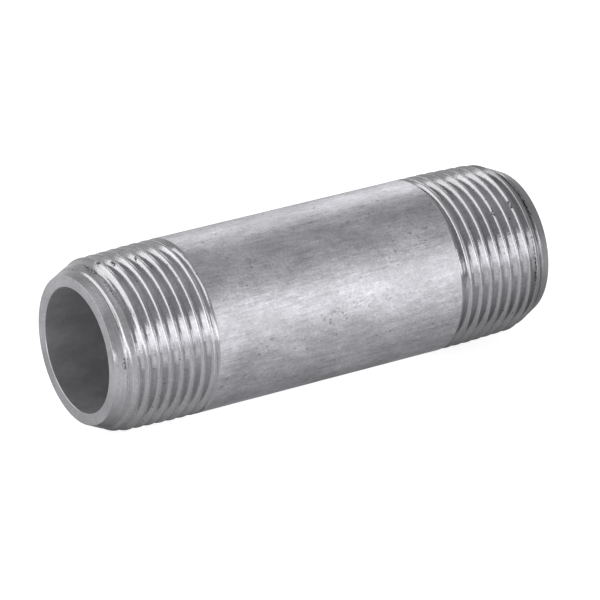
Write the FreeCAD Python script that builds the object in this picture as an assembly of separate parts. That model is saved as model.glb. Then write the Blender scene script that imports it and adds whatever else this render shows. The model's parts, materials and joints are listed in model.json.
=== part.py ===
"""Threaded pipe nipple: 3/4 inch, 3 inches long, Schedule 80, NPT thread on both ends.

The pipe lies along X, centred on the origin, with +Z up. Lengths are in millimetres.
Each end is worked out in a frame of its own: Z runs along the pipe from the end face
inwards, X and Y are across it. Laying it down turns that Z onto the pipe's X axis.
"""
import FreeCAD, Part
import math
import os

INCH = 25.4
FULL_TURN = 360.0

# The pipe.
overall_length = 3.0 * INCH
outside_diameter = 26.67
bore_diameter = 18.85
bore_mouth_break = 0.12          # 45 degree break where the bore meets each end face

# The taper thread, 14 to the inch.
threads_per_inch = 14.0
thread_pitch = INCH / threads_per_inch
radius_taper = 1.0 / 32.0        # growth of the radius along the axis: 1 in 16 on diameter
pitch_diameter_at_end = 24.579
flank_angle = 30.0               # each flank from the plane square to the axis
crest_truncation = 0.075 * thread_pitch
root_truncation = 0.055 * thread_pitch
skin_shave = 0.02                # what the die takes off the pipe's skin at the last crests

# The lead-in bevel turned on each end before its thread is cut.
end_face_diameter = 22.5
bevel_angle = 25.0               # from the axis

# Each groove stops at a square edge, up a short conical wall.
run_out_length = 0.8
near_thread_length = 16.5
far_thread_length = 17.3
near_start_angle = 182.0         # where the groove crosses the end face, about the axis
far_start_angle = -33.0

# Working shapes, which all end inside the cuts and leave no mark of their own.
end_piece_length = 20.0
rod_oversize = 0.4
cutter_overlap = 0.12            # how far the cutter's flanks go on above the crests
cutter_wall = 1.0                # straight sides above those flanks
core_sinkage = 0.3               # how far the run-out wall goes on below the groove's root

outside_radius = outside_diameter / 2.0
bore_radius = bore_diameter / 2.0
end_face_radius = end_face_diameter / 2.0
rod_radius = outside_radius + rod_oversize
half_length = overall_length / 2.0

flank_slope = math.tan(math.radians(flank_angle))
bevel_slope = math.tan(math.radians(bevel_angle))
sharp_height = thread_pitch / (2.0 * flank_slope)
thread_height = sharp_height - crest_truncation - root_truncation
crest_radius_at_end = pitch_diameter_at_end / 2.0 + sharp_height / 2.0 - crest_truncation
root_radius_at_end = crest_radius_at_end - thread_height

UP = FreeCAD.Vector(0, 0, 1)
ORIGIN = FreeCAD.Vector(0, 0, 0)


def crest_radius(along):
    """Radius of the cone that the crests lie on."""
    return crest_radius_at_end + radius_taper * along


def root_radius(along):
    """Radius of the cone that the groove's root lies on."""
    return root_radius_at_end + radius_taper * along


def point(radius, along):
    """A point in a lengthwise half section: radius from the axis, distance along it."""
    return FreeCAD.Vector(radius, 0, along)


def turned(section):
    """Spin a closed half section, given as a list of points, about the Z axis."""
    outline = Part.makePolygon(section + [section[0]])
    return Part.Face(outline).revolve(ORIGIN, UP, FULL_TURN)


def end_blank(thread_length):
    """One end before threading: bore, end face, lead-in bevel, crest cone and barrel."""
    shaved_radius = outside_radius - skin_shave
    bevel_length = (crest_radius_at_end - end_face_radius) / (bevel_slope - radius_taper)
    cone_length = (shaved_radius - crest_radius_at_end) / radius_taper
    return turned([
        point(bore_radius, bore_mouth_break),
        point(bore_radius + bore_mouth_break, 0),
        point(end_face_radius, 0),
        point(crest_radius(bevel_length), bevel_length),
        point(shaved_radius, cone_length),
        point(outside_radius, thread_length),
        point(outside_radius, end_piece_length),
        point(bore_radius, end_piece_length),
    ])


def oversize_rod():
    """A plain ring a little thicker than the pipe, for the groove to be cut in."""
    return turned([
        point(bore_radius, 0),
        point(rod_radius, 0),
        point(rod_radius, end_piece_length),
        point(bore_radius, end_piece_length),
    ])


def groove_turn(start, start_angle):
    """One turn of the V groove: its section swept along a helix on the root cone."""
    bottom = root_radius(start)
    taper_angle = math.degrees(math.atan(radius_taper))
    helix = Part.makeHelix(thread_pitch, thread_pitch, bottom, taper_angle)
    helix.translate(UP * start)

    depth = thread_height + cutter_overlap
    root_half_width = root_truncation * flank_slope
    mouth_half_width = root_half_width + depth * flank_slope
    corners = [
        point(bottom, start - root_half_width),
        point(bottom, start + root_half_width),
        point(bottom + depth, start + mouth_half_width),
        point(bottom + depth + cutter_wall, start + mouth_half_width),
        point(bottom + depth + cutter_wall, start - mouth_half_width),
        point(bottom + depth, start - mouth_half_width),
    ]
    section = Part.makePolygon(corners + [corners[0]])

    sweep = Part.BRepOffsetAPI.MakePipeShell(helix)
    sweep.setBiNormalMode(UP)
    sweep.add(section, False, False)
    sweep.build()
    sweep.makeSolid()
    turn = sweep.shape()
    turn.rotate(ORIGIN, UP, start_angle)
    return turn


def run_out_core(thread_length):
    """The metal that the groove climbs out of. Its wall starts below the groove's root."""
    foot = thread_length - run_out_length
    foot_radius = root_radius(foot)
    wall_slope = (outside_radius - foot_radius) / run_out_length
    wall_start = foot - core_sinkage / wall_slope
    wall_top = foot + (rod_radius - foot_radius) / wall_slope
    return turned([
        point(bore_radius, wall_start),
        point(foot_radius - core_sinkage, wall_start),
        point(rod_radius, wall_top),
        point(rod_radius, end_piece_length),
        point(bore_radius, end_piece_length),
    ])


def threaded_end(thread_length, start_angle):
    """One end of the pipe with its right-hand taper thread."""
    turns_inside = math.ceil(thread_length / thread_pitch + 0.5)
    starts = [n * thread_pitch for n in range(-1, turns_inside)]
    cutters = [groove_turn(start, start_angle) for start in starts]
    grooved = oversize_rod().cut(cutters).fuse(run_out_core(thread_length))
    return end_blank(thread_length).common(grooved)


def barrel():
    """The plain pipe between the two threaded ends."""
    far_side = overall_length - end_piece_length
    return turned([
        point(bore_radius, end_piece_length),
        point(outside_radius, end_piece_length),
        point(outside_radius, far_side),
        point(bore_radius, far_side),
    ])


def lay_along_x(shape):
    """Turn a shape's own Z onto the pipe's X axis, its X onto Y and its Y onto Z."""
    shape.rotate(ORIGIN, FreeCAD.Vector(1, 1, 1), FULL_TURN / 3.0)
    shape.translate(FreeCAD.Vector(-half_length, 0, 0))
    return shape


def pipe_nipple():
    """The whole nipple: one pipe, with a thread cut in from each end."""
    near_end = lay_along_x(threaded_end(near_thread_length, near_start_angle))
    far_end = lay_along_x(threaded_end(far_thread_length, far_start_angle))
    far_end.rotate(ORIGIN, UP, FULL_TURN / 2.0)
    middle = lay_along_x(barrel())
    return middle.fuse([near_end, far_end]).removeSplitter()


os.makedirs("parts", exist_ok=True)
pipe_nipple().exportStep("parts/pipe_nipple.step")
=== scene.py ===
"""Looks for the threaded pipe nipple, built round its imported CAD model.

Everything is in metres, in the CAD frame: the pipe lies along X, centred on the origin, +Z up.
A point on the pipe is given by its place along X, its radius from the X axis, and its angle
about that axis, from +Y towards +Z. Each threaded end is worked out in a frame of its own:
its length runs from the end face inwards, and the far end's angle goes from -Y towards +Z.
"""
import json
import math
from collections import namedtuple

import bmesh
import bpy
import numpy as np
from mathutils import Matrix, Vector


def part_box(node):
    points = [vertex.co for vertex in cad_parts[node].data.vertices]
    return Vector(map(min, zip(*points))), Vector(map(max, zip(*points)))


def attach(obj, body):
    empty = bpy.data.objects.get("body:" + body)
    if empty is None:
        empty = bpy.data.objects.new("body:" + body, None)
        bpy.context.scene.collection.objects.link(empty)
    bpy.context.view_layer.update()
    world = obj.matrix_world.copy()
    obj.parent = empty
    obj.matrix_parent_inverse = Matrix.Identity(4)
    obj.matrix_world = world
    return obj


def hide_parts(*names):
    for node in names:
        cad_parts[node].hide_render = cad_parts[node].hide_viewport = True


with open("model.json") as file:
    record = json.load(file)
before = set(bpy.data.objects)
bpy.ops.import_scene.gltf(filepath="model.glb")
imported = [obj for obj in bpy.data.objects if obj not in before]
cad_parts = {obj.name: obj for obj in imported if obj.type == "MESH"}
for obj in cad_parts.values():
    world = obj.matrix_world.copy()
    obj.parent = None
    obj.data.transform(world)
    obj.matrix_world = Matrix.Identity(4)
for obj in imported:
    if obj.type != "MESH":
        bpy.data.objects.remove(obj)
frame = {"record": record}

NODE = "pipe_nipple"
MM = 0.001
FULL_TURN = 2 * math.pi

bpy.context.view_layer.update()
node_low, node_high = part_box(NODE)
mounts = {mount["name"]: mount for mount in frame["record"]["mounts"]}

# The pipe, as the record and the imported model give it.
half_length = (node_high.x - node_low.x) / 2
outside_radius = mounts["barrel"]["dims"]["r_mm"] * MM
bore_radius = mounts["through_bore"]["dims"]["r_mm"] * MM

# The taper thread and the turned ends, with the CAD model's values.
PITCH = 25.4 / 14 * MM
RADIUS_TAPER = 1 / 32
PITCH_RADIUS_AT_END = 24.579 / 2 * MM
FLANK_RISE = 1 / math.tan(math.radians(30))       # radius gained per length along a flank
SHARP_HEIGHT = PITCH * FLANK_RISE / 2
CREST_TRUNCATION = 0.075 * PITCH
ROOT_TRUNCATION = 0.055 * PITCH
THREAD_HEIGHT = SHARP_HEIGHT - CREST_TRUNCATION - ROOT_TRUNCATION
CREST_RADIUS_AT_END = PITCH_RADIUS_AT_END + SHARP_HEIGHT / 2 - CREST_TRUNCATION
ROOT_RADIUS_AT_END = CREST_RADIUS_AT_END - THREAD_HEIGHT
ROOT_HALF_WIDTH = ROOT_TRUNCATION / FLANK_RISE
END_FACE_RADIUS = 11.25 * MM
BEVEL_SLOPE = math.tan(math.radians(25))
BEVEL_LENGTH = (CREST_RADIUS_AT_END - END_FACE_RADIUS) / (BEVEL_SLOPE - RADIUS_TAPER)
BORE_MOUTH_BREAK = 0.12 * MM
SKIN_SHAVE = 0.02 * MM
RUN_OUT_LENGTH = 0.8 * MM

# The two ends. The side is -1 towards -X and 1 towards +X.
End = namedtuple("End", "side thread_length start_angle")
NEAR_END = End(-1, 16.5 * MM, math.radians(182))
FAR_END = End(1, 17.3 * MM, math.radians(-33))

# Each crest is rounded off on its -X side.
SHOULDER_SHARE = 0.62         # how far down the flank, as a share of the crest's height
LAND_SHARE = 0.1              # how far over the crest, by the height of the flank's line above it
LEAST_HEIGHT = 0.001 * MM     # of a crest, where the thread ends

# The mesh.
COLUMNS = 240
BARREL_RINGS = 60
BORE_RINGS = 22
FACE_RINGS = 4
EDGE_ROW = 0.05 * MM          # how close the rows beside a turned edge are to it
LAND_ROW = 0.03 * MM          # the same beside a crest's edges
DOWN_ROWS = (0.03, 0.12, 0.26, 0.58)     # shares of a flank's length, close at the rounded top
CLIMB_ROWS = (0.42, 0.74, 0.88, 0.97)
SPARE_TURNS = 3               # turns of rows beyond each end of the thread, which shrink onto it
WELD = 0.001 * MM


# ---------------------------------------------------------------- the pipe's ideal shape

def ramp(value, start, end):
    """0 up to the start, 1 from the end on, and even between them."""
    return np.clip((value - start) / (end - start), 0, 1)


def blank_cones(end):
    """The end before threading: each cone's radius at the end face, and its slope."""
    cone_length = (outside_radius - SKIN_SHAVE - CREST_RADIUS_AT_END) / RADIUS_TAPER
    shave_slope = SKIN_SHAVE / (end.thread_length - cone_length)
    return [
        (END_FACE_RADIUS, BEVEL_SLOPE),
        (CREST_RADIUS_AT_END, RADIUS_TAPER),
        (outside_radius - shave_slope * end.thread_length, shave_slope),
    ]


def blank_radius(along, end):
    """Radius of the unthreaded end."""
    radius = np.min([start + slope * along for start, slope in blank_cones(end)], axis=0)
    return np.minimum(radius, outside_radius)


def run_out_wall(end):
    """The cone that the groove climbs at its end: radius at the end face, slope, and its foot."""
    foot = end.thread_length - RUN_OUT_LENGTH
    foot_radius = ROOT_RADIUS_AT_END + RADIUS_TAPER * foot
    slope = (outside_radius - foot_radius) / RUN_OUT_LENGTH
    return foot_radius - slope * foot, slope, foot


def rounded_drop(drop, height):
    """How far below the blank the surface is, given how far the sharp groove is below it.

    A curve leaves the flank at the shoulder and reaches the blank beyond the crest's edge.
    """
    low, high = LAND_SHARE * height, SHOULDER_SHARE * height
    inside = np.clip(drop, -low, high)
    share = (high - np.sqrt(high ** 2 - (high - low) * (high - inside))) / (high - low)
    return np.where(drop > high, drop, high * (1 - share) ** 2)


def threaded_radius(along, angle, end):
    """Radius of the finished end, by place along it and angle in its own frame."""
    phase = (angle - end.start_angle) / FULL_TURN
    centre = PITCH * (np.round(along / PITCH - phase) + phase)
    bottom = ROOT_RADIUS_AT_END + RADIUS_TAPER * centre
    flank = np.maximum(0, np.abs(along - centre) - ROOT_HALF_WIDTH) * FLANK_RISE
    wall_start, wall_slope, foot = run_out_wall(end)
    wall = np.where(along > foot, wall_start + wall_slope * along, 0)
    blank = blank_radius(along, end)
    drop = blank - np.maximum(bottom + flank, wall)
    height = (blank - bottom) * ramp(end.thread_length - along, 0, RUN_OUT_LENGTH)
    rounded = rounded_drop(drop, np.maximum(height, LEAST_HEIGHT))
    on_inner_flank = (along > centre) | (wall > bottom + flank)
    faces_minus_x = on_inner_flank == (end.side < 0)
    return blank - np.where(faces_minus_x, rounded, np.maximum(drop, 0))


# ---------------------------------------------------------------- the mesh

column_angles = np.arange(COLUMNS) * FULL_TURN / COLUMNS


def groove_rows(centre, end):
    """Where one turn of the groove has its edges, from its first crest edge to its last."""
    bottom = ROOT_RADIUS_AT_END + RADIUS_TAPER * centre
    wall_start, wall_slope, foot = run_out_wall(end)
    near_root, far_root = centre - ROOT_HALF_WIDTH, centre + ROOT_HALF_WIDTH

    def meets_near_flank(start, slope):
        return (bottom + FLANK_RISE * near_root - start) / (FLANK_RISE + slope)

    def meets_far_flank(start, slope):
        return (start - bottom + FLANK_RISE * far_root) / (FLANK_RISE - slope)

    cones = blank_cones(end)
    near_edge = np.max([meets_near_flank(*cone) for cone in cones], axis=0)
    far_edge = np.min([meets_far_flank(*cone) for cone in cones], axis=0)
    wall_end = meets_far_flank(wall_start, wall_slope)
    # A groove whose far flank is under the wall goes on to the wall's end.
    far_edge = np.where(wall_end > far_edge, end.thread_length, far_edge)
    near_foot = np.minimum(near_root, meets_near_flank(wall_start, wall_slope))
    far_foot = np.maximum(far_root, wall_end)
    middle = np.clip(foot, near_root, far_root)
    near_edge = np.minimum(near_edge, near_foot)
    far_edge = np.maximum(far_edge, far_foot)
    down = [near_edge + share * (near_foot - near_edge) for share in DOWN_ROWS]
    climb = [far_foot + share * (far_edge - far_foot) for share in CLIMB_ROWS]
    return [near_edge, *down, near_foot, middle, far_foot, *climb, far_edge]


def land_rows(first_edge, last_edge):
    """Rows across the crest between two turns of the groove: beside each edge and midway."""
    margin = np.minimum(LAND_ROW, (last_edge - first_edge) / 4)
    return [first_edge + margin, (first_edge + last_edge) / 2, last_edge - margin]


def threaded_grid(end):
    """Places of one end's rows, row by column, and how many rows a turn of the thread has."""
    lead = PITCH * (column_angles - end.start_angle) / FULL_TURN
    turns = range(-SPARE_TURNS, math.ceil(end.thread_length / PITCH) + SPARE_TURNS)
    grooves = [groove_rows(turn * PITCH + lead, end) for turn in turns]
    rows = []
    for groove, following in zip(grooves, grooves[1:]):
        rows += groove + land_rows(groove[-1], following[0])
    places = np.clip(np.array(rows), EDGE_ROW, end.thread_length)
    return np.maximum.accumulate(places, axis=0), len(rows) // (len(grooves) - 1)


def in_pipe_frame(end, along, radius, angle):
    """Points of an end's own frame, in the pipe's frame."""
    x = end.side * (half_length - along)
    return np.stack([x, -end.side * radius * np.cos(angle), radius * np.sin(angle)], -1)


def add_faces(mesh, points, quads):
    """Add a patch, given as an array of points and the corners of its faces."""
    corners = [mesh.verts.new(point) for point in points.reshape(-1, 3)]
    for quad in quads:
        mesh.faces.new([corners[index] for index in quad])


def add_thread(mesh, end):
    """Add one threaded end. Its rows follow the helix, so a row ends one turn further on."""
    along, rows_a_turn = threaded_grid(end)
    angles = np.broadcast_to(column_angles, along.shape)
    radii = threaded_radius(along, angles, end)
    index = np.arange(along.size).reshape(along.shape)
    inner = np.stack([index[:-1, :-1], index[1:, :-1], index[1:, 1:], index[:-1, 1:]], -1)
    last, first = index[:-rows_a_turn, -1], index[rows_a_turn:, 0]
    seam = np.stack([last[:-1], last[1:], first[1:], first[:-1]], -1)
    quads = np.concatenate([inner.reshape(-1, 4), seam]).tolist()
    add_faces(mesh, in_pipe_frame(end, along, radii, angles), quads)


def add_rings(mesh, end, section):
    """Add a turned strip, given as (place along, radius) for each of its rings."""
    shape = (len(section), COLUMNS)
    along, radius = [np.array(part)[:, None] for part in zip(*section)]
    index = np.arange(len(section) * COLUMNS).reshape(shape)
    beside = np.roll(index, -1, axis=1)
    quads = np.stack([index[:-1], index[1:], beside[1:], beside[:-1]], -1)
    along, radius, angles = [np.broadcast_to(part, shape) for part in (along, radius, column_angles)]
    add_faces(mesh, in_pipe_frame(end, along, radius, angles), quads.reshape(-1, 4).tolist())


def add_end_face(mesh, end):
    """Add one end's mouth break, its flat ring and the start of its bevel."""
    mouth = bore_radius + BORE_MOUTH_BREAK
    flat = np.linspace(mouth + EDGE_ROW, END_FACE_RADIUS - EDGE_ROW, FACE_RINGS)
    add_rings(mesh, end, [
        (BORE_MOUTH_BREAK, bore_radius),
        (0, mouth),
        *[(0, radius) for radius in flat],
        (0, END_FACE_RADIUS),
        (EDGE_ROW, END_FACE_RADIUS + BEVEL_SLOPE * EDGE_ROW),
    ])


def straight_run(first, last, rings, radius):
    """A section of rings between two places, with an extra one close to each end."""
    between = np.linspace(first, last, rings)[1:-1]
    places = [first, first + EDGE_ROW, *between, last - EDGE_ROW, last]
    return [(along, radius) for along in places]


def ideal_mesh():
    """The whole nipple as one closed mesh, before wear."""
    mesh = bmesh.new()
    length = 2 * half_length
    for end in (NEAR_END, FAR_END):
        add_thread(mesh, end)
    for end in (NEAR_END, FAR_END):
        add_end_face(mesh, end)
    barrel_end = length - FAR_END.thread_length
    barrel = straight_run(NEAR_END.thread_length, barrel_end, BARREL_RINGS, outside_radius)
    bore = straight_run(BORE_MOUTH_BREAK, length - BORE_MOUTH_BREAK, BORE_RINGS, bore_radius)
    add_rings(mesh, NEAR_END, barrel)
    add_rings(mesh, NEAR_END, bore)
    bmesh.ops.remove_doubles(mesh, verts=mesh.verts, dist=WELD)
    bmesh.ops.recalc_face_normals(mesh, faces=mesh.faces)
    return mesh


# ---------------------------------------------------------------- places on the pipe

def pipe_coordinates(points):
    """Place along X, radius and angle of points in the pipe's frame."""
    x, y, z = points.T
    return x, np.hypot(y, z), np.arctan2(z, y) % FULL_TURN


def from_end_face(x):
    """Each point's distance from the end face on its own side."""
    return half_length - np.abs(x)


def length_of_thread(x):
    """How long the thread is on each point's own side."""
    return np.where(x < 0, NEAR_END.thread_length, FAR_END.thread_length)


def on_crest(x, radius, reach=0.12 * MM):
    """1 on the crests of the threads, falling to 0 as far down their flanks as given."""
    along = from_end_face(x)
    blank = np.where(x < 0, blank_radius(along, NEAR_END), blank_radius(along, FAR_END))
    crest = np.clip(1 - (blank - radius) / reach, 0, 1)
    return np.where((along < length_of_thread(x)) & (along > EDGE_ROW), crest, 0)


def in_bore(radius):
    """Where the ideal surface is the bore's."""
    return radius < bore_radius + EDGE_ROW


SKIN, THREAD, TURNED, BORE = range(4)     # the order of the piece's materials
FLUSH = 0.93                  # a face that is more than this on a crest is not in a groove


def surface_kind(x, radius):
    """Which of the four surfaces a point of the ideal shape is on."""
    along = from_end_face(x)
    flush = on_crest(x, radius) > FLUSH
    full_width = radius > outside_radius - 1.5 * SKIN_SHAVE
    skin = full_width & ((along > length_of_thread(x)) | flush)
    turned = (flush & (along < BEVEL_LENGTH)) | (along < 2 * EDGE_ROW)
    kind = np.where(skin, SKIN, np.where(turned, TURNED, THREAD))
    return np.where(in_bore(radius), BORE, kind)


# ---------------------------------------------------------------- wear and unevenness

# They only remove metal from the outside. In the bore, the weld bead stands up.
# A smooth random field has a seed, cells of some length along the pipe, and a number round it.
Field = namedtuple("Field", "seed cell_length cells_round")
SKIN_SWELL = Field(1, 9 * MM, 14)
FINE_SKIN_SWELL = Field(2, 2.4 * MM, 44)
DENTS = Field(3, 3.1 * MM, 30)
CREST_SWELL = Field(4, 1.1 * MM, 90)
BORE_SWELL = Field(5, 5 * MM, 20)
FINE_BORE_SWELL = Field(6, 1.6 * MM, 60)
RAGGEDNESS = Field(11, 0.5 * MM, 110)

SKIN_UNEVENNESS = 0.03 * MM
SKIN_FADE = 1.2 * MM          # how soon the unevenness fades in, next to a thread
DENT_DEPTH = 0.027 * MM       # times the root of how far the field is past the start
DENT_START = 0.74
FINE_SKIN_WEIGHT = 0.45       # of the fine swell, where the broad one's is 1
CREST_UNEVENNESS = 0.014 * MM
BORE_UNEVENNESS = 0.05 * MM
BORE_FADE = 2 * MM            # how soon it fades in, inside the bore's mouths
FINE_BORE_WEIGHT = 0.4
WELD_BEAD_HEIGHT = 0.07 * MM
WELD_BEAD_DEGREES = 18.0      # where the pipe's own weld runs along the bore
WELD_BEAD_HALF_DEGREES = 5.0

TEAR_DEPTH = 0.04 * MM
TEAR_REACH = 0.5 * MM         # how far down the flanks tears go
TEAR_FADE = 0.5               # the share of that reach over which they fade out
PATCH_FADE = 0.625            # the share of a patch's size over which it fades out
RAGGED_START, RAGGED_FULL = 0.4, 0.8      # the part of the random field that tears span
# Where crests tore: x in mm, angle in degrees, half width in mm, half angle in degrees.
TORN_PATCHES = (
    (-35.6, 91, 0.55, 18),
    (-35.4, 120, 0.22, 16),
    (-36.7, 172, 0.3, 15),
    (-34.2, 90, 0.5, 4),
    (-32.4, 95, 0.5, 6),
    (-30.8, 88, 0.5, 4),
    (-28.9, 97, 0.5, 6),
    (34.6, 175, 0.6, 34),
    (35.9, 128, 0.6, 24),
    (33.0, 128, 0.4, 7),
    (29.5, 131, 0.4, 5),
    (-33.0, 265, 2.0, 22),
    (31.5, 20, 2.0, 26),
    (-29.0, 340, 2.5, 20),
)

# Painted shade for the threads' colour: darker in the grooves and on the underside, where shade
# falls.
NEAR_PAINTED_SHADE = (0, 0.08, 0.25)          # all over, in the grooves, on the underside
FAR_PAINTED_SHADE = (0.1, 0.18, 0.65)
# The far end's bevel gets this one darkness instead.
FAR_BEVEL_DARKNESS = 0.7
UNDERSIDE_START, UNDERSIDE_FULL = 0.1, 0.5    # below the axis, as a share of the radius


def rippled(field, x, angle):
    """A smooth random field from 0 to 1 over the pipe, which closes round the axis."""
    rows = math.ceil(2 * half_length / field.cell_length) + 3
    around = field.cells_round
    values = np.random.default_rng(field.seed).uniform(0, 1, (rows, around))
    # The last row only closes the last cell, so places stay just short of it.
    u = np.clip((x + half_length) / field.cell_length + 0.5, 0, rows - 1.001)
    v = angle / FULL_TURN * around
    i, j = np.floor(u).astype(int), np.floor(v).astype(int)
    u, v = u - i, v - j
    u, v = u * u * (3 - 2 * u), v * v * (3 - 2 * v)
    j, beside = j % around, (j + 1) % around
    low = values[i, j] * (1 - v) + values[i, beside] * v
    high = values[i + 1, j] * (1 - v) + values[i + 1, beside] * v
    return low * (1 - u) + high * u


def layered(broad, fine, fine_weight, x, angle):
    """A broad random field with a weaker, finer one over it, from 0 to 1."""
    both = rippled(broad, x, angle) + fine_weight * rippled(fine, x, angle)
    return both / (1 + fine_weight)


def blob(x, angle, centre_x, centre_degrees, half_width, half_degrees):
    """A soft spot of 1 at its centre, fading to 0 with distance over the surface."""
    turn = (angle - math.radians(centre_degrees) + math.pi) % FULL_TURN - math.pi
    far = np.hypot((x - centre_x) / half_width, turn / math.radians(half_degrees))
    return np.clip(1 - far, 0, 1)


def painted_thread_shade(x, radius, angle):
    """Painted shade on the threads: darker in the grooves and on the underside, where shade falls.
    The far end is darker all over, and its bevel has one fixed darkness.
    """
    along = from_end_face(x)
    crest_line = np.minimum(CREST_RADIUS_AT_END + RADIUS_TAPER * along, outside_radius)
    depth = ramp(crest_line - radius, 0, THREAD_HEIGHT)
    beneath = ramp(-np.sin(angle), UNDERSIDE_START, UNDERSIDE_FULL)
    near, far = [
        all_over + in_grooves * depth + below * beneath
        for all_over, in_grooves, below in (NEAR_PAINTED_SHADE, FAR_PAINTED_SHADE)
    ]
    far = np.where(along < BEVEL_LENGTH, FAR_BEVEL_DARKNESS, far)
    return np.where(along < length_of_thread(x), np.where(x < 0, near, far), 0)


def torn(x, radius, angle):
    """How torn the metal is, from 0 to 1: most on the crests in the middle of each patch."""
    patches = np.zeros_like(x)
    for centre, degrees, half_width, half_degrees in TORN_PATCHES:
        spot = blob(x, angle, centre * MM, degrees, half_width * MM, half_degrees)
        patches = np.maximum(patches, spot)
    crest = on_crest(x, radius, TEAR_REACH)
    return ramp(patches, 0, PATCH_FADE) * ramp(crest, 0, TEAR_FADE)


def outside_wear(x, radius, angle):
    """How much metal the outside has lost: uneven skin with dents, uneven and torn crests."""
    swell = layered(SKIN_SWELL, FINE_SKIN_SWELL, FINE_SKIN_WEIGHT, x, angle)
    dents = np.sqrt(ramp(rippled(DENTS, x, angle) - DENT_START, 0, 1))
    fade = ramp(from_end_face(x) - length_of_thread(x), 0, SKIN_FADE)
    skin = fade * (SKIN_UNEVENNESS * swell + DENT_DEPTH * dents)
    crest = CREST_UNEVENNESS * rippled(CREST_SWELL, x, angle) * on_crest(x, radius)
    ragged = ramp(rippled(RAGGEDNESS, x, angle), RAGGED_START, RAGGED_FULL)
    return skin + crest + TEAR_DEPTH * torn(x, radius, angle) * ragged


def bore_wear(x, angle):
    """How much wider the bore is than the ideal one: uneven scale, with a low weld bead."""
    fade = ramp(from_end_face(x), 0, BORE_FADE)
    scale = layered(BORE_SWELL, FINE_BORE_SWELL, FINE_BORE_WEIGHT, x, angle)
    # The bead is as high all along the bore, so only the angle counts.
    bead = blob(0, angle, 0, WELD_BEAD_DEGREES, MM, WELD_BEAD_HALF_DEGREES)
    return fade * (BORE_UNEVENNESS * scale - WELD_BEAD_HEIGHT * bead)


def worn_radius(x, radius, angle):
    """The radius of each point once the metal is uneven, worn and torn."""
    outside = radius - outside_wear(x, radius, angle)
    return np.where(in_bore(radius), radius + bore_wear(x, angle), outside)


# ---------------------------------------------------------------- the piece

def add_object(name, data):
    """A new object in the scene."""
    thing = bpy.data.objects.new(name, data)
    bpy.context.scene.collection.objects.link(thing)
    return thing


def nipple_piece(materials):
    """The nipple as one piece: the ideal mesh, worn, with its four surfaces' materials."""
    mesh = ideal_mesh()
    data = bpy.data.meshes.new("nipple")
    mesh.to_mesh(data)
    mesh.free()

    points = np.array([vertex.co for vertex in data.vertices])
    x, radius, angle = pipe_coordinates(points)
    centres = np.array([face.center for face in data.polygons])
    centre_x, centre_radius, _ = pipe_coordinates(centres)
    kinds = surface_kind(centre_x, centre_radius)
    worn = worn_radius(x, radius, angle)
    points = np.stack([x, worn * np.cos(angle), worn * np.sin(angle)], -1)
    data.vertices.foreach_set("co", points.astype(np.float32).ravel())
    data.polygons.foreach_set("material_index", kinds.astype(np.int32))
    data.polygons.foreach_set("use_smooth", np.ones(len(centres), bool))
    # Stored at each point: how torn the metal is, and the painted shade that darkens the threads'
    # colour.
    for name, values in (("torn", torn(x, radius, angle)), ("painted_shade", painted_thread_shade(x, radius, angle))):
        attribute = data.attributes.new(name, "FLOAT", "POINT")
        attribute.data.foreach_set("value", values.astype(np.float32))
    for material in materials:
        data.materials.append(material)
    data.update()
    return add_object("threaded_nipple", data)


# ---------------------------------------------------------------- materials

class Nodes:
    """Short calls for building a node tree."""

    def __init__(self, tree):
        self.nodes = tree.nodes
        self.links = tree.links

    def connect(self, value, socket):
        """Link a socket to another, or set its value."""
        if isinstance(value, bpy.types.NodeSocket):
            self.links.new(value, socket)
        else:
            socket.default_value = value

    def node(self, kind, inputs, output, **settings):
        """An output of a new node. Its inputs are given by name or number, as links or values."""
        node = self.nodes.new("ShaderNode" + kind)
        for name, value in settings.items():
            setattr(node, name, value)
        for name, value in inputs.items():
            self.connect(value, node.inputs[name])
        return node.outputs[output]

    def maths(self, operation, first, second):
        """Two values put together."""
        return self.node("Math", {0: first, 1: second}, "Value", operation=operation)

    def vector_maths(self, operation, inputs, output="Vector"):
        """Vector arithmetic, by the name that Blender gives the operation."""
        return self.node("VectorMath", inputs, output, operation=operation)

    def between(self, value, low, high):
        """0 where the value is at low, 1 where it is at high, smooth between them."""
        inputs = {"Value": value, "From Min": low, "From Max": high}
        return self.node("MapRange", inputs, "Result", interpolation_type="SMOOTHSTEP")

    def ranged(self, value, low, high, low_result, high_result):
        """The value's range from low to high, spread evenly over the results' range."""
        inputs = {
            "Value": value,
            "From Min": low,
            "From Max": high,
            "To Min": low_result,
            "To Max": high_result,
        }
        return self.node("MapRange", inputs, "Result")

    def spread(self, value, low, high):
        """The value's 0 to 1 spread evenly from low to high."""
        return self.ranged(value, 0, 1, low, high)


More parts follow.
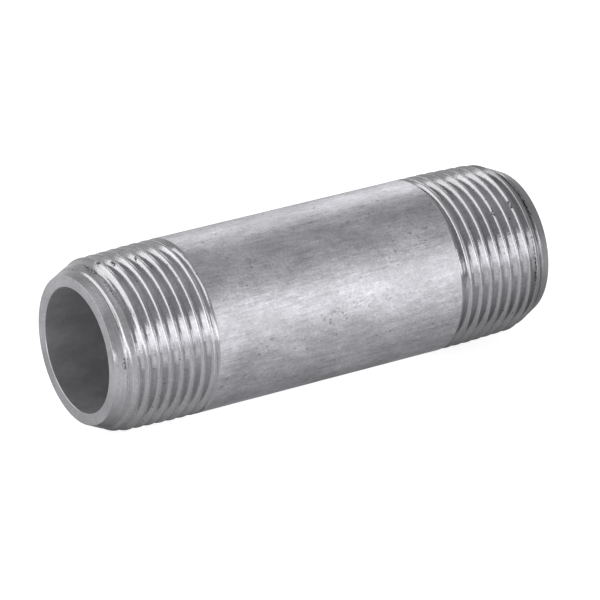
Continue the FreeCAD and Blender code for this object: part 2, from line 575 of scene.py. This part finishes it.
class Metal(Nodes):
    """The nodes of one metal. Its calls take lengths in millimetres."""

    def __init__(self, name):
        self.material = bpy.data.materials.new(name)
        self.material.use_nodes = True
        super().__init__(self.material.node_tree)
        self.place = self.node("TexCoord", {}, "Object")

    def stretched(self, cell):
        """The place on the piece, in cells of the given size along X, Y and Z."""
        scale = [1 / (side * MM) for side in cell]
        return self.node("Mapping", {"Vector": self.place, "Scale": scale}, "Vector")

    def noise_at(self, place, detail, roughness):
        """Smooth noise from 0 to 1, with features about the size of the place's unit."""
        inputs = {"Vector": place, "Scale": 1.0, "Detail": detail, "Roughness": roughness}
        return self.node("TexNoise", inputs, "Fac")

    def noise(self, cell, detail=2.0, roughness=0.5):
        """Smooth noise from 0 to 1, with features about the size of the cell."""
        return self.noise_at(self.stretched(cell), detail, roughness)

    def ring_noise(self, width, detail, roughness):
        """Noise that is the same all round the axis: rings about as wide as given."""
        across = self.vector_maths("MULTIPLY", {0: self.place, 1: (0, 1, 1)})
        radius = self.vector_maths("LENGTH", {0: across}, "Value")
        along = self.node("SeparateXYZ", {"Vector": self.place}, "X")
        place = self.node("CombineXYZ", {"X": along, "Y": radius}, "Vector")
        widths = self.vector_maths("SCALE", {0: place, "Scale": 1 / (width * MM)})
        return self.noise_at(widths, detail, roughness)

    def spots(self, cell, size):
        """1 in small round spots, one to a cell at most, and 0 between them."""
        inputs = {"Vector": self.stretched(cell), "Scale": 1.0}
        distance = self.node("TexVoronoi", inputs, "Distance")
        return self.between(distance, size, 0.4 * size)

    def attribute(self, name):
        """A value stored in the mesh."""
        return self.node("Attribute", {}, "Fac", attribute_name=name)

    def tears(self):
        """1 in the small ragged places where the metal tore, and 0 between them."""
        ragged = self.noise((0.3, 0.45, 0.45), 3, 0.65)
        torn_share = self.maths("MULTIPLY", self.attribute("torn"), 0.3)
        return self.between(self.maths("ADD", ragged, torn_share), 0.70, 0.78)

    def tinted(self, base, *shades):
        """The base colour, darkened or lightened by each shade, which is around 1."""
        shade = shades[0]
        for another in shades[1:]:
            shade = self.maths("MULTIPLY", shade, another)
        return self.vector_maths("SCALE", {0: base, "Scale": shade})

    def bumped(self, height, distance, under=None):
        """A surface raised by the height, over another bump if there is one."""
        inputs = {"Distance": distance * MM, "Height": height}
        if under is not None:
            inputs["Normal"] = under
        return self.node("Bump", inputs, "Normal")

    def finished(self, colour, roughness, normal):
        """The metal with its colour, roughness and relief."""
        shader = self.nodes["Principled BSDF"]
        shader.inputs["Metallic"].default_value = 1.0
        self.connect(colour, shader.inputs["Base Color"])
        self.connect(roughness, shader.inputs["Roughness"])
        self.connect(normal, shader.inputs["Normal"])
        return self.material


SKIN_COLOUR = (0.65, 0.647, 0.68)
CUT_COLOUR = (0.68, 0.678, 0.7)
TURNED_COLOUR = (0.78, 0.778, 0.81)
BORE_COLOUR = (0.66, 0.655, 0.67)


def pipe_skin():
    """Drawn pipe surface: dull, cloudy, scratched along its length, with dark blotches."""
    metal = Metal("pipe_skin")
    clouds = metal.noise((8, 5, 5), 5, 0.65)
    streaks = metal.noise((6, 0.5, 0.5), 3, 0.6)
    mottle = metal.noise((1.3, 0.8, 0.8), 4, 0.7)
    scuffs = metal.noise((2.2, 0.35, 0.35), 3, 0.6)
    grain = metal.noise((0.4, 0.24, 0.24), 2, 0.6)
    peel = metal.noise((1.6, 0.8, 0.8), 2, 0.5)

    soiled = metal.between(metal.noise((12, 4, 4)), 0.45, 0.62)
    blotches = metal.between(metal.noise((1.5, 0.9, 0.9)), 0.60, 0.74)
    blotches = metal.maths("MULTIPLY", blotches, soiled)
    specks = metal.maths("MULTIPLY", metal.spots((1.7, 1.1, 1.1), 0.2), soiled)
    lines = metal.between(metal.noise((5, 0.22, 0.22)), 0.63, 0.74)
    scratches = metal.between(metal.noise((3, 0.16, 0.16)), 0.64, 0.72)

    colour = metal.tinted(
        SKIN_COLOUR,
        metal.spread(clouds, 0.5, 1.5),
        metal.spread(streaks, 0.8, 1.2),
        metal.spread(mottle, 0.72, 1.28),
        metal.spread(grain, 0.64, 1.36),
        metal.spread(blotches, 1.0, 0.72),
        metal.spread(specks, 1.0, 0.55),
        metal.spread(lines, 1.0, 0.85),
        metal.spread(scratches, 1.0, 1.15),
    )
    roughness = metal.spread(metal.maths("ADD", clouds, grain), 0.34, 0.50)
    normal = metal.bumped(peel, 0.045)
    normal = metal.bumped(scuffs, 0.02, normal)
    normal = metal.bumped(streaks, 0.02, normal)
    normal = metal.bumped(grain, 0.012, normal)
    return metal.finished(colour, roughness, normal)


def cut_thread():
    """Freshly cut thread: bright, lined round the axis, with torn places, dark dots, and painted
    shade in the grooves and on the underside.
    """
    metal = Metal("cut_thread")
    lines = metal.noise((0.2, 9, 9), 2, 0.6)
    chatter = metal.noise((0.9, 0.8, 0.8), 2, 0.6)
    grain = metal.noise((0.45, 0.4, 0.4), 2, 0.6)
    clouds = metal.noise((5, 4, 4), 3, 0.55)
    dots = metal.spots((1.7, 1.7, 1.7), 0.11)
    tears = metal.tears()
    colour = metal.tinted(
        CUT_COLOUR,
        # Painted shade: darker in the grooves and on the underside, and darker on the far end.
        metal.spread(metal.attribute("painted_shade"), 1.0, 0.5),
        metal.spread(lines, 0.8, 1.2),
        metal.spread(grain, 0.8, 1.2),
        metal.spread(clouds, 0.8, 1.2),
        metal.spread(dots, 1.0, 0.4),
        # Torn places are darker: partly the torn metal, partly painted shade in their small pits.
        metal.spread(tears, 1.0, 0.2),
    )
    roughness = metal.spread(clouds, 0.10, 0.22)
    roughness = metal.maths("ADD", roughness, metal.spread(tears, 0, 0.3))
    normal = metal.bumped(lines, 0.004)
    normal = metal.bumped(chatter, 0.010, normal)
    normal = metal.bumped(grain, 0.004, normal)
    return metal.finished(colour, roughness, normal)


def turned_end():
    """The faced end and its bevel: tool marks round the axis."""
    metal = Metal("turned_end")
    marks = metal.ring_noise(0.22, 2, 0.6)
    clouds = metal.noise((4, 4, 4), 3, 0.6)
    grain = metal.noise((0.4, 0.4, 0.4), 2, 0.6)
    colour = metal.tinted(
        TURNED_COLOUR,
        # Painted shade from the mesh: darker below the crest line and on the underside; the far
        # end's bevel has its own fixed darkness.
        metal.spread(metal.attribute("painted_shade"), 1.0, 0.35),
        metal.spread(marks, 0.85, 1.15),
        metal.spread(clouds, 0.7, 1.3),
        metal.spread(grain, 0.8, 1.2),
        # Torn places are darker: partly the torn metal, partly painted shade in their small pits.
        metal.spread(metal.tears(), 1.0, 0.35),
    )
    roughness = metal.spread(clouds, 0.14, 0.28)
    normal = metal.bumped(marks, 0.006)
    normal = metal.bumped(grain, 0.006, normal)
    return metal.finished(colour, roughness, normal)


def bore_scale():
    """The bore: dark, rough mill scale."""
    metal = Metal("bore_scale")
    clouds = metal.noise((6, 3, 3), 4, 0.6)
    grain = metal.noise((0.9, 0.5, 0.5), 3, 0.6)
    colour = metal.tinted(
        BORE_COLOUR,
        metal.spread(clouds, 0.75, 1.25),
        metal.spread(grain, 0.85, 1.15),
    )
    roughness = metal.spread(clouds, 0.5, 0.7)
    normal = metal.bumped(grain, 0.03)
    return metal.finished(colour, roughness, normal)


# ---------------------------------------------------------------- the studio

CAMERA_AIM = Vector((0.197, -0.471, -0.673)) * MM
CAMERA_AZIMUTH = -32.29
CAMERA_ELEVATION = 23.52
CAMERA_DISTANCE = 688.8 * MM
CAMERA_CLIP_START = 0.01
LENS = 275.6

LIGHT_DISTANCE = 1.5
SOFT_LIGHTS = (               # name, azimuth, elevation, width, height, radiance
    ("key_light", 35, 17.5, 1.1, 0.74, 1.55),
    ("fill_light", 33, -8, 1.1, 0.6, 0.55),
    ("top_light", 36, 52, 1.2, 0.6, 0.12),
    ("back_light", 146, 25, 0.6, 0.6, 1.8),
    ("left_light", -108, 30, 2.1, 0.93, 0.85),
    ("strip_light", -70, 2, 1.8, 0.45, 1.05),
    ("front_light", -2, 7, 0.7, 0.45, 1.1),
)

ROOM_SHADES = (               # sine of the elevation, brightness of the room there
    (-1.0, 0.36),
    (-0.85, 0.43),
    (-0.4, 0.53),
    (0.02, 0.53),
    (0.08, 0.42),
    (0.4, 0.34),
    (0.7, 0.29),
    (0.86, 0.31),
    (0.94, 0.44),
    (1.0, 0.52),
)
ROOM_BLUENESS = 1.01          # its blue, over its red and green
DARK_CORNER = (0.7, 1.0, 0.0)         # the way to the corner of the room that is dark low down
CORNER_DARKNESS = 0.8
CORNER_START, CORNER_FULL = -0.15, 0.8        # how far that way the darkness starts and is full
CORNER_BOTTOM, CORNER_TOP = -0.75, -0.35      # sines of elevation: full below, none above

FLOOR_HALF_SIZE = 8.0
FLOOR_SHADE = (0.85, 0.85, 0.85, 1)
FLOOR_GLOW = 0.8


def heading(azimuth, elevation):
    """Unit vector from the pipe out to an azimuth and elevation. Azimuth 0 is -Y, 90 is +X."""
    turn, rise = math.radians(azimuth), math.radians(elevation)
    flat = math.cos(rise)
    return Vector((math.sin(turn) * flat, -math.cos(turn) * flat, math.sin(rise)))


def set_back(thing, target, out, distance):
    """Put a camera or a lamp out at a distance from its target, facing it."""
    thing.location = target + out * distance
    thing.rotation_mode = "QUATERNION"
    thing.rotation_quaternion = (-out).to_track_quat("-Z", "Y")


def add_camera():
    """The camera, at the photograph's viewing angle."""
    camera = add_object("camera", bpy.data.cameras.new("camera"))
    out = heading(CAMERA_AZIMUTH, CAMERA_ELEVATION)
    set_back(camera, CAMERA_AIM, out, CAMERA_DISTANCE)
    camera.data.lens = LENS
    camera.data.clip_start = CAMERA_CLIP_START
    bpy.context.scene.camera = camera


def add_soft_light(name, azimuth, elevation, width, height, radiance):
    """A soft rectangular light that faces the pipe."""
    light = bpy.data.lights.new(name, "AREA")
    light.shape = "RECTANGLE"
    light.size = width
    light.size_y = height
    light.energy = radiance * math.pi * width * height
    lamp = add_object(name, light)
    set_back(lamp, Vector(), heading(azimuth, elevation), LIGHT_DISTANCE)
    lamp.visible_camera = False


def add_room():
    """The light from all round: a band at the horizon, and a dark corner behind and below."""
    world = bpy.data.worlds.new("room")
    bpy.context.scene.world = world
    world.use_nodes = True
    room = Nodes(world.node_tree)
    background = room.nodes["Background"]
    direction = room.node("TexCoord", {}, "Generated")
    height = room.node("SeparateXYZ", {"Vector": direction}, "Z")

    shades = room.nodes.new("ShaderNodeValToRGB")
    stops = shades.color_ramp.elements
    while len(stops) < len(ROOM_SHADES):
        stops.new(0.5)
    for stop, (level, brightness) in zip(stops, ROOM_SHADES):
        stop.position = (level + 1) / 2
        stop.color = (brightness, brightness, brightness * ROOM_BLUENESS, 1)
    room.connect(room.ranged(height, -1, 1, 0, 1), shades.inputs["Fac"])
    room.connect(shades.outputs["Color"], background.inputs["Color"])

    corner = room.vector_maths("DOT_PRODUCT", {0: direction, 1: DARK_CORNER}, "Value")
    behind = room.ranged(corner, CORNER_START, CORNER_FULL, 0, 1)
    below = room.ranged(height, CORNER_BOTTOM, CORNER_TOP, CORNER_DARKNESS, 0)
    lit = room.ranged(room.maths("MULTIPLY", behind, below), 0, 1, 1, 0)
    room.connect(lit, background.inputs["Strength"])


def add_floor():
    """A plain pale floor under the pipe, lit like a light table so that shadows are faint."""
    mesh = bmesh.new()
    size = FLOOR_HALF_SIZE
    corners = [(-size, -size), (size, -size), (size, size), (-size, size)]
    mesh.faces.new([mesh.verts.new((x, y, node_low.z)) for x, y in corners])
    data = bpy.data.meshes.new("floor")
    mesh.to_mesh(data)
    mesh.free()
    material = bpy.data.materials.new("floor")
    material.use_nodes = True
    shader = material.node_tree.nodes["Principled BSDF"]
    shader.inputs["Base Color"].default_value = FLOOR_SHADE
    shader.inputs["Roughness"].default_value = 1.0
    shader.inputs["Specular IOR Level"].default_value = 0.0
    shader.inputs["Emission Color"].default_value = (1, 1, 1, 1)
    shader.inputs["Emission Strength"].default_value = FLOOR_GLOW
    data.materials.append(material)
    floor = add_object("floor", data)
    floor.visible_glossy = False
    floor.visible_diffuse = False
    floor.visible_shadow = False


nipple = nipple_piece([pipe_skin(), cut_thread(), turned_end(), bore_scale()])
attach(nipple, "root")
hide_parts(NODE)

add_camera()
add_room()
add_floor()
for soft_light in SOFT_LIGHTS:
    add_soft_light(*soft_light)
bpy.context.scene.view_settings.view_transform = "Standard"
